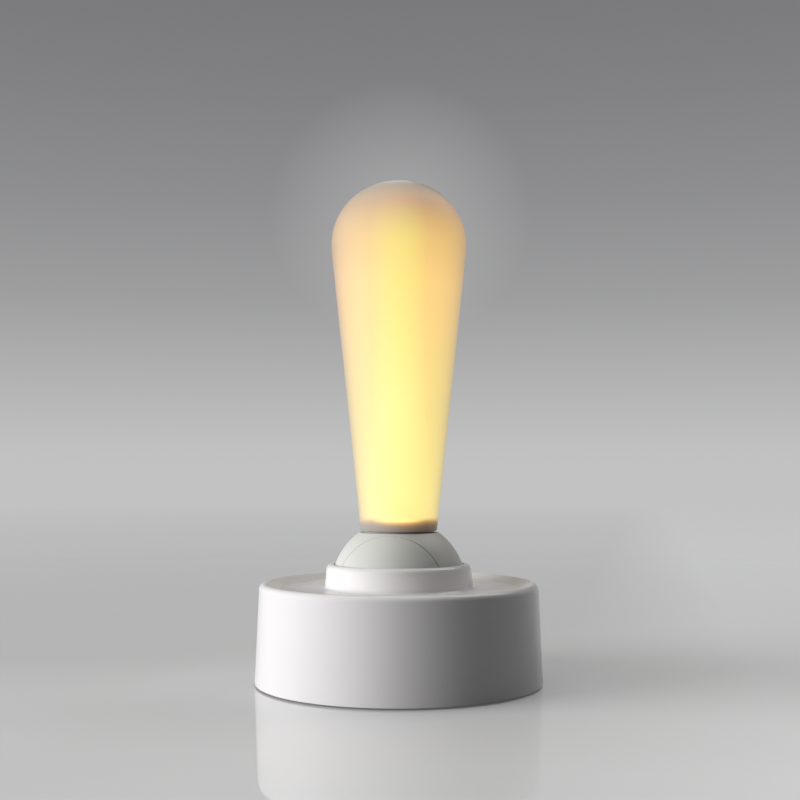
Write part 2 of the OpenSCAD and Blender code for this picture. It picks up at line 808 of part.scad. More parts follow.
module light_chips() {
    color("khaki") for (k = [0 : led_count - 1]) rotate(360 * k / led_count)
        block([led_side, led_side, led_h], [led_ring_r, 0, plug_top_z + led_board_t]);
}

// Half outline of the club: a cone that runs into the round head, drawn in by an inset
module club_profile(inset) {
    r = crown_r - inset;
    foot = [stick_foot_r - inset, stick_z];
    head = [crown_flat, crown_z];
    intersection() {
        union() {
            translate(head) circle(r = r);
            polygon([
                [0, stick_z], foot, touch(foot, head, r - hair, 1), head, head + [0, r - hair],
                [0, crown_z + r - hair]
            ]);
        }
        translate([0, stick_z]) square([far, far]);
    }
}

// Hollow club of frosted silicone, with a seat for the plug and its bead
module diffuser() {
    color("khaki") rotate_extrude() difference() {
        club_profile(0);
        intersection() {
            club_profile(stick_wall);
            translate([0, plug_top_z]) square([far, far]);
        }
        translate([0, stick_z - past]) square([plug_r + seat_gap, plug_h + 2 * past]);
        translate([0, bead_z - seat_gap]) square([plug_r + bead_out + seat_gap, bead_h + 2 * seat_gap]);
    }
}

// Two leads from the light board, past the hub, to their socket on the main board
module led_leads() {
    start = [[0, 0, plug_top_z], [0, 0, ball_inner_z]];
    socket_top = [led_socket_at.x, led_socket_at.y, board_top_z + led_socket.z];
    finish = [socket_top + [0, 0, led_lead_end], socket_top];
    bends = [for (p = led_lead_bends) p + [0, 0, ball_z]];
    path = concat(start, bends, finish);
    color("crimson") for (sy = [-1, 1])
        tube([for (p = path) p + [0, sy * lead_spread / 2, 0]], lead_d, [0, 1, 0]);
}

base_shell();
bottom_cover();
foot_pad();
cover_screws();
weight_plate();
battery_cell();
battery_leads();
main_board();
board_components();
charging_socket();
board_screws();
switch_body();
switch_slider();
front_cheek();
rear_cheek();
cheek_screws();
pivot_pin();
pivot_bushes();
rocker_ball();
centring_spring();
led_holder();
holder_screws();
led_board();
light_chips();
diffuser();
led_leads();
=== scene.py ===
import json
import math

import bpy
from bpy.props import FloatProperty, FloatVectorProperty, PointerProperty
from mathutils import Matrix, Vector


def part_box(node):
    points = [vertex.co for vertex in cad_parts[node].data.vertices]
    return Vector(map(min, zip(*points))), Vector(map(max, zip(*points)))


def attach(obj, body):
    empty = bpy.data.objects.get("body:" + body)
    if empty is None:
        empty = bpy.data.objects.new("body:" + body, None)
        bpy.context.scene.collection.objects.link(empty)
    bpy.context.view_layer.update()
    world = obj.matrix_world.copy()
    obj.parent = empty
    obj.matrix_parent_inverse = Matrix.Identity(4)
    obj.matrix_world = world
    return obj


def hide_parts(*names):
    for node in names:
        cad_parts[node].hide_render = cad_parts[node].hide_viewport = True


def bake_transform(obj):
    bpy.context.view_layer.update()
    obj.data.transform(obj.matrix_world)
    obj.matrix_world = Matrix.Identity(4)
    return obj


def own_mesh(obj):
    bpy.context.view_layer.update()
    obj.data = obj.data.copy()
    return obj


bl_info = {
    "name": "Rocker table lamp",
    "version": (1, 0, 0),
    "blender": (4, 5, 0),
    "location": "3D View > Sidebar > Lamp",
    "description": "Smooth mouldings, finishes, stage and camera for the packed rocker lamp",
    "category": "Object",
}

# The packed model and what is read from it
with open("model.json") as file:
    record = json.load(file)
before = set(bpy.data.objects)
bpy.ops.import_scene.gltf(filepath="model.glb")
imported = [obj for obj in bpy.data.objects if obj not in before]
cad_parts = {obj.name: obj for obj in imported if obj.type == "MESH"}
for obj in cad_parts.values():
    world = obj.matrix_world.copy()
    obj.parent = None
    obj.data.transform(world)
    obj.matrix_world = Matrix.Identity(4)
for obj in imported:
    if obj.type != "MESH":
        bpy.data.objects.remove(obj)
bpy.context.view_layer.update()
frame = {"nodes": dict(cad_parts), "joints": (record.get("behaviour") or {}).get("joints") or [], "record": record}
NODES = frame["nodes"]
JOINTS = {joint["name"]: joint for joint in frame["joints"]}
SLOT_COLOURS = {row["slot"]: row["base_color"] for row in frame["record"]["materials"]}
PIVOT = Vector(JOINTS["rock"]["pos_m"])
SHELL_LOW, SHELL_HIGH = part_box("base_shell")
COVER_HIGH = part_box("bottom_cover")[1]
PLATE_LOW, PLATE_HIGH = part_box("weight_plate")
BALL_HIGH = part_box("rocker_ball")[1]
STICK_LOW, STICK_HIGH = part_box("diffuser")
PAD_LOW, PAD_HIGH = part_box("foot_pad")
CELL_LOW, CELL_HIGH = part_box("battery_cell")
BOARD_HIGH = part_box("main_board")[1]
PARTS_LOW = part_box("board_components")[0]
PORT_LOW, PORT_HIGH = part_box("charging_socket")
CHEEK_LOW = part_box("rear_cheek")[0]
LEADS_LOW, LEADS_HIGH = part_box("led_leads")

# Units and smoothness
MM = 0.001
TURN_STEPS = 192
POST_STEPS = 40
MERGE_DISTANCE = 0.0005 * MM
SMOOTH_ANGLE = math.radians(32)

# Fits and small parts inside the lamp
COVER_GAP = 0.15 * MM
WINDOW_GAP = 0.15 * MM
WINDOW_STEPS = 14
SKIRT_DEPTH = 2 * MM
MOUTH_SHARE = 0.9
STICK_EDGE = 0.1 * MM
GROOVE_INSETS = (5.1 * MM, 2.9 * MM)
GROOVE_HALF = 0.6 * MM
GROOVE_DEPTH = 0.4 * MM
PAD_EDGE = 0.15 * MM
SEAM_LENGTH = 3 * MM
SEAM_INSET = 0.5 * MM
TAPE_LENGTH = 5.5 * MM
LEAD_RADIUS = 0.5 * MM
LEAD_HALF_PITCH = 0.9 * MM
LEAD_STUB = 2 * MM
BEND_STEPS = 12
SPRING_WIRE = 0.4 * MM
SPRING_TURNS = 4.5
SPRING_STEPS = 24

# Depth of a fine grain, range of the cloud noise and second colours of finishes
FINE_DEPTH = 0.004 * MM
CLOUD_LOW, CLOUD_HIGH = 0.3, 0.7
TAPE_AMBER = (0.55, 0.25, 0.03, 1.0)
DOT_GOLD = (0.75, 0.6, 0.3, 1.0)
SOCKET_IVORY = (0.78, 0.72, 0.58, 1.0)
CHIP_GLOW = (1.0, 0.75, 0.3, 1.0)
DARK = (0.02, 0.02, 0.022, 1.0)
WHITE = (1.0, 1.0, 1.0, 1.0)

# Light in the stick, at shares of the plug's height and of the stick's
PLUG_GLOW = ((0.0, 0.03), (0.53, 0.13), (0.69, 0.24), (0.84, 0.42), (1.0, 0.7))
SIDE_GLOW = 0.5
BEAM_DIP = 0.88
BELLY_LOW = 0.1
BELLY_HIGH = 0.34
SHOULDER = 0.69
NECK = 0.8
HEAD = 0.913
CROWN = 0.976
BEAMS = 3
BEAM_TURN = math.radians(78.6)
SILICONE_SURFACE = {
    "Emission Strength": 1.62,
    "Coat Roughness": 0.6,
    "Coat IOR": 1.1,
    "Coat Tint": (0.68, 0.69, 0.87, 1.0),
    "Sheen Weight": 0.5,
    "Sheen Roughness": 0.35,
}

# Aim, distances, panels and directions of the lights, in metres
AIM = Vector((0, 0, 0.05))
KEY_DISTANCE = 2.0
KEY_PANEL = (1.5, 0.667)
TOP_DISTANCE = 1.2
TOP_PANEL = (1.3, 1.3)
EDGE_DISTANCE = 1.2
EDGE_PANEL = (0.6, 0.6)
TOP_DIRECTION = Vector((0, 0.1, 1)).normalized()
EDGE_RIGHT, EDGE_BACK = 0.77, 0.64
EDGE_FLAT, EDGE_RISE = 0.64, 0.77

# Floor; each painted light that lifts its brightness, towards the front and on the right where the lamp's shadow
# falls, has a start and an end in metres, a least and a most
FLOOR_SIZE = 6.0
FLOOR_SURFACE = {"Roughness": 0.03, "IOR": 1.45, "Emission Color": WHITE}
FLOOR_BOUNCE = 0.3
PAINTED_LIGHT_NEAR = (0.02, -0.09, 0.035, 0.125)
PAINTED_LIGHT_RIGHT = (0.04, 0.1, 0.0, 0.085)
FADE_START = 0.35
FADE_END = 1.6

# Grey of the backdrop at each rise of the view, and its halo, a painted glow of the lamp's light
BACKDROP = (
    (0.0, (0.54, 0.54, 0.545, 1.0)),
    (0.0142, (0.53, 0.53, 0.535, 1.0)),
    (0.0554, (0.468, 0.468, 0.472, 1.0)),
    (0.137, (0.342, 0.342, 0.347, 1.0)),
    (0.217, (0.27, 0.27, 0.277, 1.0)),
    (0.294, (0.223, 0.223, 0.23, 1.0)),
    (0.362, (0.195, 0.194, 0.204, 1.0)),
    (0.7, (0.15, 0.15, 0.157, 1.0)),
)
HALO_RISE = 0.205
HALO_AHEAD = 0.979
HALO_CORE = 0.03
HALO_REACH = 0.107
HALO_GLOW = 0.127


# Kinds of property
def length(name, description, default):
    """A length in metres."""
    return FloatProperty(name=name, description=description, default=default, unit="LENGTH", precision=5)


def angle(name, description, default):
    """An angle in radians."""
    return FloatProperty(name=name, description=description, default=default, subtype="ANGLE")


def power(name, description, default):
    """The power of a light."""
    return FloatProperty(name=name, description=description, default=default, unit="POWER")


def tint(name, description, default):
    """A colour of a surface or of its light."""
    return FloatVectorProperty(name=name, description=description, default=default, subtype="COLOR")


class DrumSizes(bpy.types.PropertyGroup):
    """Sizes of the drum and its collar"""

    draft: angle("Wall draft", "Inward lean of the drum wall", math.radians(2.3))
    wall: length("Wall", "Thickness of the drum wall", 2.2 * MM)
    rim_round: length("Rim round", "Radius of the rounded rim", 1.7 * MM)
    rim_width: length("Rim width", "Width of the rim, from its outside to the crease at the deck", 5.5 * MM)
    deck_depth: length("Deck depth", "Depth of the deck below the rim", 1.5 * MM)
    deck_thickness: length("Deck thickness", "Thickness of the deck", 2.0 * MM)
    crease_width: length("Crease width", "Width of the fine groove where the rim meets the deck", 0.5 * MM)
    crease_depth: length("Crease depth", "Depth of the fine groove where the rim meets the deck", 0.3 * MM)
    socket_gap: length("Socket gap", "Gap between the ball and its socket", 0.3 * MM)
    collar_wall: length("Collar wall", "Wall of the collar at the deck", 1.45 * MM)
    collar_draft: angle("Collar draft", "Inward lean of the collar", math.radians(5))
    collar_round: length("Collar round", "Radius of the collar's top edge", 1.6 * MM)
    collar_fillet: length("Collar fillet", "Fillet where the collar meets the deck", 0.9 * MM)
    foot_round: length("Foot round", "Radius of the drum's lower edge", 0.25 * MM)
    edge_round: length("Edge round", "Radius of the small moulded edges", 0.2 * MM)


class StickSizes(bpy.types.PropertyGroup):
    """Sizes of the light stick"""

    foot_radius: length("Foot radius", "Radius of the stick at its foot", 10.7 * MM)
    wall: length("Wall", "Thickness of the silicone", 2.0 * MM)
    crown_flat: length("Crown flat", "Radius of the flat on top", 1.05 * MM)
    foot_round: length("Foot round", "Radius of the stick's lower edge", 0.2 * MM)
    seat_gap: length("Seat gap", "Gap between the stick and its plug", 0.15 * MM)
    plug_height: length("Plug height", "Height of the plug in the stick", 3.0 * MM)
    bead_height: length("Bead height", "Height of the snap bead", 0.8 * MM)
    bead_reach: length("Bead reach", "Overhang of the snap bead", 0.6 * MM)


class LampFinishes(bpy.types.PropertyGroup):
    """Colours of the finishes that show from outside"""

    drum: tint("Drum", "Glossy plastic of the drum", (0.84, 0.82, 0.825))
    ball: tint("Ball", "Satin plastic of the ball", (0.68, 0.685, 0.655))
    # Grey instead of the plug's white: painted shade for the gap where the plug shows between the ball and the
    # stick's foot
    plug: tint("Plug", "Satin plastic of the stick's plug", (0.32, 0.315, 0.305))
    silicone: tint("Silicone", "Unlit silicone of the stick", (0.33, 0.322, 0.315))
    silicone_lit: tint("Lit silicone", "Silicone where it glows", (0.3, 0.29, 0.23))
    glow_plug: tint("Glow at plug", "Light at the top of the plug", (0.85, 0.43, 0.1))
    glow_low: tint("Glow low down", "Light of the lower half", (0.93, 0.715, 0.18))
    glow_high: tint("Glow higher up", "Light of the upper half", (0.95, 0.61, 0.155))
    glow_head: tint("Glow of the head", "Light of the round head", (0.33, 0.19, 0.083))
    glow_crown: tint("Glow at crown", "Light of the round head's top", (0.135, 0.1, 0.058))
    beam_low: tint("Beam low down", "Light of a beam in the lower half", (0.95, 0.82, 0.2))
    beam_high: tint("Beam higher up", "Light of a beam in the upper half", (0.9, 0.69, 0.135))


class StageSettings(bpy.types.PropertyGroup):
    """Camera, lights and floor"""

    camera_turn: angle("Camera turn", "Turn of the camera to the right", math.radians(11.4))
    camera_distance: length("Camera distance", "Distance from the lamp's axis", 342.4 * MM)
    camera_height: length("Camera height", "Height of the camera above the floor", 60.0 * MM)
    camera_tilt: angle("Camera tilt", "Upward tilt of the camera", 0.0551)
    camera_side: length("Camera offset", "Sideways offset of the camera", 0.32 * MM)
    lens: FloatProperty(name="Lens", description="Focal length of the camera", default=54.56, unit="CAMERA")
    key_power: power("Key power", "Power of the broad light on the left", 52.0)
    key_turn: angle("Key turn", "Turn of the key light to the camera's left", math.radians(75))
    key_rise: angle("Key rise", "Height of the key light as an angle", math.radians(9))
    top_power: power("Top power", "Power of the soft light overhead", 5.4)
    edge_power: power("Edge power", "Power of the small light behind, on the right", 2.6)
    ambient: FloatProperty(
        name="Ambient", description="Strength of the even light from all round", default=0.02, min=0.0
    )
    floor: tint("Floor", "Pale polished floor", (0.76, 0.76, 0.765))


# Outlines of turned pieces, as radius and height
def arc(centre, radius, start, end, steps):
    """Points on a round stretch between two angles."""
    x, z = centre
    turns = [start + (end - start) * step / steps for step in range(steps + 1)]
    return [(x + radius * math.cos(turn), z + radius * math.sin(turn), 0) for turn in turns]


def nestle(foot, draft, radius, height):
    """Distance from the axis of a circle that touches a leaning wall from inside."""
    return foot[0] - (radius + (height - foot[1]) * math.sin(draft)) / math.cos(draft)


def touch_turn(point, centre, radius, side):
    """Angle at which a line from a point touches a circle."""
    across = (point[0] - centre[0], point[1] - centre[1])
    return math.atan2(across[1], across[0]) + side * math.acos(radius / math.hypot(*across))


def rounded(path, closed=False, steps=6):
    """Replace each corner that has a radius by a round stretch."""
    outline = []
    last = len(path) - 1
    for index, (x, z, radius) in enumerate(path):
        if not radius or (not closed and index in (0, last)):
            outline.append((x, z))
            continue
        corner = Vector((x, z))
        back = (Vector(path[index - 1][:2]) - corner).normalized()
        ahead = (Vector(path[(index + 1) % len(path)][:2]) - corner).normalized()
        half = back.angle(ahead) / 2
        centre = corner + (back + ahead).normalized() * (radius / math.sin(half))
        first = corner + back * (radius / math.tan(half)) - centre
        sweep = first.angle_signed(corner + ahead * (radius / math.tan(half)) - centre)
        start = math.atan2(first.y, first.x)
        for step in range(steps + 1):
            turn = start - sweep * step / steps
            outline.append((centre.x + radius * math.cos(turn), centre.y + radius * math.sin(turn)))
    return outline


# Modelling steps
def deselect():
    """Go back to object mode with nothing selected."""
    if bpy.context.object and bpy.context.object.mode != "OBJECT":
        bpy.ops.object.mode_set(mode="OBJECT")
    bpy.ops.object.select_all(action="DESELECT")


def activate(piece):
    """Make one piece the active and only selected object."""
    deselect()
    piece.select_set(True)
    bpy.context.view_layer.objects.active = piece


def named(name):
    """Name the active object and its mesh."""
    piece = bpy.context.object
    piece.name = name
    piece.data.name = name
    return piece


def apply_modifier(piece, kind, **settings):
    """Add a modifier with these settings and apply it."""
    activate(piece)
    modifier = piece.modifiers.new(kind, kind)
    for setting, value in settings.items():
        setattr(modifier, setting, value)
    bpy.ops.object.modifier_apply(modifier=modifier.name)


def draw_line(points):
    """Start a mesh in edit mode as a line through points, extruded from one vertex."""
    deselect()
    bpy.ops.mesh.primitive_plane_add(size=MM)
    bpy.ops.object.mode_set(mode="EDIT")
    bpy.ops.mesh.select_mode(type="VERT")
    bpy.ops.mesh.select_all(action="SELECT")
    bpy.ops.mesh.merge(type="CENTER")
    bpy.ops.transform.translate(value=points[0])
    for here, there in zip(points, points[1:]):
        bpy.ops.mesh.extrude_region_move(TRANSFORM_OT_translate={"value": there - here})


def close_mesh(inside=False):
    """Merge doubles, turn all faces to one side and leave edit mode."""
    bpy.ops.mesh.select_all(action="SELECT")
    bpy.ops.mesh.remove_doubles(threshold=MERGE_DISTANCE)
    bpy.ops.mesh.normals_make_consistent(inside=inside)
    bpy.ops.object.mode_set(mode="OBJECT")


def lathe(name, outline, closed):
    """Turn an outline about the upright axis into a closed solid."""
    points = [Vector((x, 0, z)) for x, z in outline]
    if closed:
        points.append(points[0])
    draw_line(points)
    bpy.ops.mesh.select_all(action="SELECT")
    bpy.ops.mesh.spin(steps=TURN_STEPS, angle=math.tau, center=(0, 0, 0), axis=(0, 0, 1))
    close_mesh()
    return named(name)


def wire(name, points, radius, smoothing):
    """Draw a round wire along a row of points, with its bends smoothed."""
    draw_line(points)
    bpy.ops.object.mode_set(mode="OBJECT")
    piece = named(name)
    apply_modifier(piece, "SUBSURF", levels=smoothing, render_levels=smoothing)
    bpy.ops.object.convert(target="CURVE")
    curve = bpy.context.object.data
    curve.bevel_depth = radius
    curve.bevel_resolution = 3
    curve.use_fill_caps = True
    bpy.ops.object.convert(target="MESH")
    bpy.ops.object.mode_set(mode="EDIT")
    close_mesh()
    return named(name)


def post(radius, low, high, at):
    """Add an upright round bar."""
    deselect()
    bpy.ops.mesh.primitive_cylinder_add(
        vertices=POST_STEPS, radius=radius, depth=high - low, location=(at[0], at[1], (low + high) / 2)
    )
    return bpy.context.object


def box(low, high):
    """Add a box between two corners."""
    deselect()
    bpy.ops.mesh.primitive_cube_add(size=1.0, location=(low + high) / 2, scale=high - low)
    bpy.ops.object.transform_apply(location=True, rotation=True, scale=True)
    return bpy.context.object


def bevel_edges(piece, wanted, offset, segments):
    """Round those edges of a piece whose ends pass a test, and the edges between their corners."""
    activate(piece)
    corners = piece.data.vertices
    for part in (*piece.data.polygons, *corners):
        part.select = False
    for edge in piece.data.edges:
        edge.select = wanted(*(corners[index].co for index in edge.vertices))
    bpy.ops.object.mode_set(mode="EDIT")
    bpy.ops.mesh.select_mode(type="EDGE")
    bpy.ops.mesh.bevel(offset=offset, segments=segments, affect="EDGES")
    close_mesh()


def join(parts):
    """Join parts into one object with its place in its mesh."""
    activate(parts[0])
    for part in parts:
        part.select_set(True)
    bpy.ops.object.join()
    bpy.ops.object.transform_apply(location=True, rotation=True, scale=True)
    return bpy.context.object


def combine(piece, tool, operation):
    """Join a tool to a piece or cut it away, and remove the tool."""
    apply_modifier(piece, "BOOLEAN", object=tool, operation=operation, solver="EXACT")
    bpy.data.objects.remove(tool)


def smooth(piece):
    """Shade round surfaces smooth and keep flat ones flat."""
    activate(piece)
    bpy.ops.object.shade_smooth_by_angle(angle=SMOOTH_ANGLE)
    apply_modifier(piece, "WEIGHTED_NORMAL", keep_sharp=True)


def dress(piece, slot, finish=None):
    """Give a piece its slot's finish, or another one, as its only material."""
    piece.data.materials.clear()
    piece.data.materials.append(bpy.data.materials[finish or FINISHES[slot]])


def settle(piece, body, slot, *nodes, finish=None):
    """Give a piece its finish, let it ride on a body and stand for its CAD nodes."""
    dress(piece, slot, finish)
    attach(piece, body)
    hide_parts(*nodes)


# Shader building blocks
def feed(tree, made, sockets):
    """Set sockets of a node to values, or link them to outputs of other nodes."""
    for socket, value in sockets.items():
        if isinstance(value, bpy.types.NodeSocket):
            tree.links.new(value, made.inputs[socket])
        else:
            made.inputs[socket].default_value = value


def add(tree, kind, sockets=None, **settings):
    """Add a shader node with these settings and sockets."""
    made = tree.nodes.new(kind)
    for setting, value in settings.items():
        setattr(made, setting, value)
    feed(tree, made, sockets or {})
    return made


def calc(tree, operation, first, second=0.0, clamp=False):
    """Output of a Math node."""
    sockets = {0: first, 1: second}
    return add(tree, "ShaderNodeMath", sockets, operation=operation, use_clamp=clamp).outputs[0]


def mix_colours(tree, factor, first, second):
    """Output of a colour Mix node."""
    return add(tree, "ShaderNodeMix", {0: factor, 6: first, 7: second}, data_type="RGBA").outputs[2]


def scaled(colour, factor):
    """A colour made lighter or darker, with its alpha."""
    return (*(min(1.0, channel * factor) for channel in colour[:3]), 1.0)


def spread(tree, value, low, high, start=0.0, end=1.0):
    """Map a value onto another range, with no overshoot."""
    sockets = {"Value": value, "From Min": low, "From Max": high, "To Min": start, "To Max": end}
    return add(tree, "ShaderNodeMapRange", sockets).outputs["Result"]


def ramp(tree, factor, stops):
    """Output of a Color Ramp with these positions and colours."""
    made = add(tree, "ShaderNodeValToRGB", {"Fac": factor})
    made.color_ramp.interpolation = "LINEAR"
    elements = made.color_ramp.elements
    elements.remove(elements[1])
    for index, (position, colour) in enumerate(stops):
        element = elements[0] if index == 0 else elements.new(position)
        element.position = position
        element.color = colour
    return made.outputs["Color"]


def object_place(tree):
    """Object coordinates."""
    return add(tree, "ShaderNodeTexCoord").outputs["Object"]


def split(tree, vector):
    """The three parts of a vector."""
    return add(tree, "ShaderNodeSeparateXYZ", {"Vector": vector}).outputs


def inside_box(tree, parts, low, high):
    """Mask of the surface inside a box, in object coordinates."""
    mask = None
    for part, start, end in zip(parts, low, high):
        above = calc(tree, "GREATER_THAN", part, start)
        below = calc(tree, "LESS_THAN", part, end)
        both = calc(tree, "MULTIPLY", above, below)
        mask = both if mask is None else calc(tree, "MULTIPLY", mask, both)
    return mask


def noise(tree, place, scale, detail):
    """Output of a Noise texture."""
    sockets = {"Vector": place, "Scale": scale, "Detail": detail}
    return add(tree, "ShaderNodeTexNoise", sockets).outputs["Fac"]


def bump(tree, shader, height, distance):
    """Feed a height into the shader's normal."""
    made = add(tree, "ShaderNodeBump", {"Height": height, "Distance": distance})
    feed(tree, shader, {"Normal": made.outputs["Normal"]})


def paint_over(tree, shader, mask, colour):
    """Lay a second colour over a finish where a mask says so."""
    plain = shader.inputs["Base Color"].links[0].from_socket
    feed(tree, shader, {"Base Color": mix_colours(tree, mask, plain, colour)})


def cover_metal(tree, shader, mask, colour):
    """Lay a second colour over a metal and make it plain there."""
    paint_over(tree, shader, mask, colour)
    feed(tree, shader, {"Metallic": spread(tree, mask, 0.0, 1.0, 1.0, 0.0)})


def new_group(name, inputs, outputs):
    """Start a shader node group with named value inputs and outputs."""
    group = bpy.data.node_groups.new(name, "ShaderNodeTree")
    for label, default in inputs.items():
        socket = group.interface.new_socket(label, in_out="INPUT", socket_type="NodeSocketFloat")
        socket.default_value = default
    for label in outputs:
        group.interface.new_socket(label, in_out="OUTPUT", socket_type="NodeSocketFloat")
    given = group.nodes.new("NodeGroupInput").outputs
    result = group.nodes.new("NodeGroupOutput")
    return group, given, result


def use_group(tree, name, values):
    """Outputs of a node group that is placed in a material with its own values."""
    return add(tree, "ShaderNodeGroup", values, node_tree=bpy.data.node_groups[name]).outputs


def make_moulded_skin():
    """Cloudiness and fine grain of a moulded surface."""
    inputs = {"Cloud Scale": 45.0, "Grain Scale": 1500.0}
    group, given, result = new_group("Moulded skin", inputs, ["Cloud", "Grain"])
    place = object_place(group)
    cloud = noise(group, place, given["Cloud Scale"], 3.0)
    grain = noise(group, place, given["Grain Scale"], 2.0)
    feed(group, result, {"Cloud": cloud, "Grain": grain})


def make_drawn_metal():
    """Streaks and grain of drawn or rolled metal."""
    inputs = {"Stretch X": 1.0, "Stretch Y": 1.0, "Stretch Z": 1.0, "Scale": 900.0}
    group, given, result = new_group("Drawn metal", inputs, ["Streak", "Cloud"])
    place = object_place(group)
    sockets = {axis: given[f"Stretch {axis}"] for axis in "XYZ"}
    stretch = add(group, "ShaderNodeCombineXYZ", sockets).outputs[0]
    drawn = add(group, "ShaderNodeVectorMath", {0: place, 1: stretch}, operation="MULTIPLY").outputs[0]
    streak = noise(group, drawn, given["Scale"], 3.0)
    feed(group, result, {"Streak": streak, "Cloud": noise(group, place, 120.0, 4.0)})


def make_settled_dust():
    """Mask of the thin dust on surfaces that face up."""
    group, given, result = new_group("Settled dust", {"Scale": 260.0, "Cover": 0.5}, ["Dust"])
    place = object_place(group)
    normal = add(group, "ShaderNodeNewGeometry").outputs["Normal"]
    level = spread(group, split(group, normal)["Z"], 0.5, 1.0)
    speck = noise(group, place, given["Scale"], 5.0)
    spotted = calc(group, "MULTIPLY", spread(group, speck, 0.35, 0.75), level)
    feed(group, result, {"Dust": calc(group, "MULTIPLY", spotted, given["Cover"])})


# Name of the finish in each slot
FINISHES = {
    "gloss_white": "glossy drum white",
    "satin_white": "satin ball white",
    "frosted_silicone": "lit frosted silicone",
    "cover_white": "textured cover white",
    # The plug's finish is grey as painted shade in the gap at the stick's foot
    "holder_white": "satin plug painted shade grey",
    "pad_rubber": "matt pad rubber",
    "screw_steel": "zinc plated screws",
    "plate_steel": "rolled plate steel",
    "pin_steel": "drawn pin steel",
    "bush_brass": "sintered bush brass",
    "cell_foil": "laminated cell foil",
    "board_green": "masked board green",
    "component_black": "moulded component black",
    "socket_steel": "plated socket steel",
    "slider_black": "moulded slider black",
    "led_board_white": "coated light board white",
    "chip_phosphor": "light chip phosphor",
    "lead_red": "red lead sleeve",
}
BLACK_LEAD = "black lead sleeve"


def start_finish(slot, name=None, colour=None):
    """Start a finish in its slot's colour."""
    material = bpy.data.materials.new(name or FINISHES[slot])
    material.use_nodes = True
    shader = material.node_tree.nodes["Principled BSDF"]
    colour = (*(colour or SLOT_COLOURS[slot])[:3], 1.0)
    shader.inputs["Base Color"].default_value = colour
    return material.node_tree, shader, colour


def moulded_finish(slot, rough, grain, depth=FINE_DEPTH, name=None, colour=None, dust=0.0, shade=0.03):
    """Moulded plastic or rubber: cloudy colour, uneven gloss, fine grain and a trace of dust."""
    tree, shader, colour = start_finish(slot, name, colour)
    skin = use_group(tree, "Moulded skin", {"Grain Scale": grain})
    paint = mix_colours(tree, skin["Cloud"], scaled(colour, 1 - shade), scaled(colour, 1 + shade))
    gloss = spread(tree, skin["Cloud"], CLOUD_LOW, CLOUD_HIGH, rough * 0.88, rough * 1.12)
    if dust:
        settled = use_group(tree, "Settled dust", {"Cover": dust})["Dust"]
        paint = mix_colours(tree, settled, paint, scaled(colour, 0.82))
        gloss = calc(tree, "ADD", gloss, calc(tree, "MULTIPLY", settled, 0.5), clamp=True)
    feed(tree, shader, {"Base Color": paint, "Roughness": gloss})
    bump(tree, shader, skin["Grain"], depth)
    return tree, shader


def metal_finish(slot, rough, stretch=(1.0, 1.0, 1.0), shade=0.12, depth=FINE_DEPTH):
    """Bare or plated metal with drawn streaks and uneven gloss."""
    tree, shader, colour = start_finish(slot)
    stretches = {f"Stretch {axis}": share for axis, share in zip("XYZ", stretch)}
    marks = use_group(tree, "Drawn metal", stretches)
    paint = mix_colours(tree, marks["Streak"], scaled(colour, 1 - shade), scaled(colour, 1 + shade))
    gloss = spread(tree, marks["Cloud"], CLOUD_LOW, CLOUD_HIGH, rough * 0.8, rough * 1.25)
    feed(tree, shader, {"Base Color": paint, "Roughness": gloss, "Metallic": 1.0})
    bump(tree, shader, marks["Streak"], depth)
    return tree, shader


def silicone_finish(colours):
    """Frosted silicone, lit from its foot: bright yellow low down, amber and then pale in the head."""
    tree, shader = moulded_finish(
        "frosted_silicone", rough=0.55, grain=1900.0, colour=colours.silicone, shade=0.02
    )
    parts = split(tree, object_place(tree))
    rise = spread(tree, parts["Z"], STICK_LOW.z, STICK_HIGH.z)
    edge = bpy.context.scene.lamp_stick.plug_height / (STICK_HIGH.z - STICK_LOW.z)
    paint_over(tree, shader, spread(tree, rise, edge * 0.7, edge * 1.6), (*colours.silicone_lit, 1.0))
    plug, low, high = colours.glow_plug, colours.glow_low, colours.glow_high
    head, crown = colours.glow_head, colours.glow_crown
    beam_low, beam_high = colours.beam_low, colours.beam_high
    end = [(CROWN, scaled(crown, 1.0)), (1.0, scaled(crown, 0.8))]
    sides = [
        *((edge * part, scaled(plug, share * SIDE_GLOW)) for part, share in PLUG_GLOW),
        (edge * 1.25, scaled(low, 1.1)),
        (BELLY_LOW, scaled(low, 1.12)),
        (BELLY_HIGH, scaled(low, 1.0)),
        (SHOULDER, scaled(high, 1.0)),
        (NECK, scaled(high, 0.83)),
        (HEAD, scaled(head, 1.0)),
    ]
    middle = [
        *((edge * part * BEAM_DIP, scaled(plug, share)) for part, share in PLUG_GLOW),
        (edge * 1.05, scaled(beam_low, 0.95)),
        (BELLY_LOW, scaled(beam_low, 1.0)),
        (BELLY_HIGH, scaled(beam_low, 1.0)),
        (SHOULDER, scaled(beam_high, 1.0)),
        (NECK, scaled(beam_high, 0.88)),
        (HEAD, scaled(head, 1.14)),
    ]
    glow = ramp(tree, rise, sides + end)
    beam = ramp(tree, rise, middle + end)
    turn = calc(tree, "ADD", calc(tree, "ARCTAN2", parts["Y"], parts["X"]), BEAM_TURN)
    ripple = calc(tree, "COSINE", calc(tree, "MULTIPLY", turn, BEAMS))
    narrow = spread(tree, rise, BELLY_LOW, 0.6, -0.6, 0.3)
    lit = mix_colours(tree, spread(tree, ripple, narrow, 1.0), glow, beam)
    haze_start = spread(tree, rise, edge * 0.97, edge * 1.2)
    haze_end = spread(tree, rise, NECK, 0.93, 1.0, 0.3)
    haze = calc(tree, "MULTIPLY", haze_start, haze_end)
    feed(tree, shader, {"Emission Color": lit, "Coat Weight": haze, **SILICONE_SURFACE})


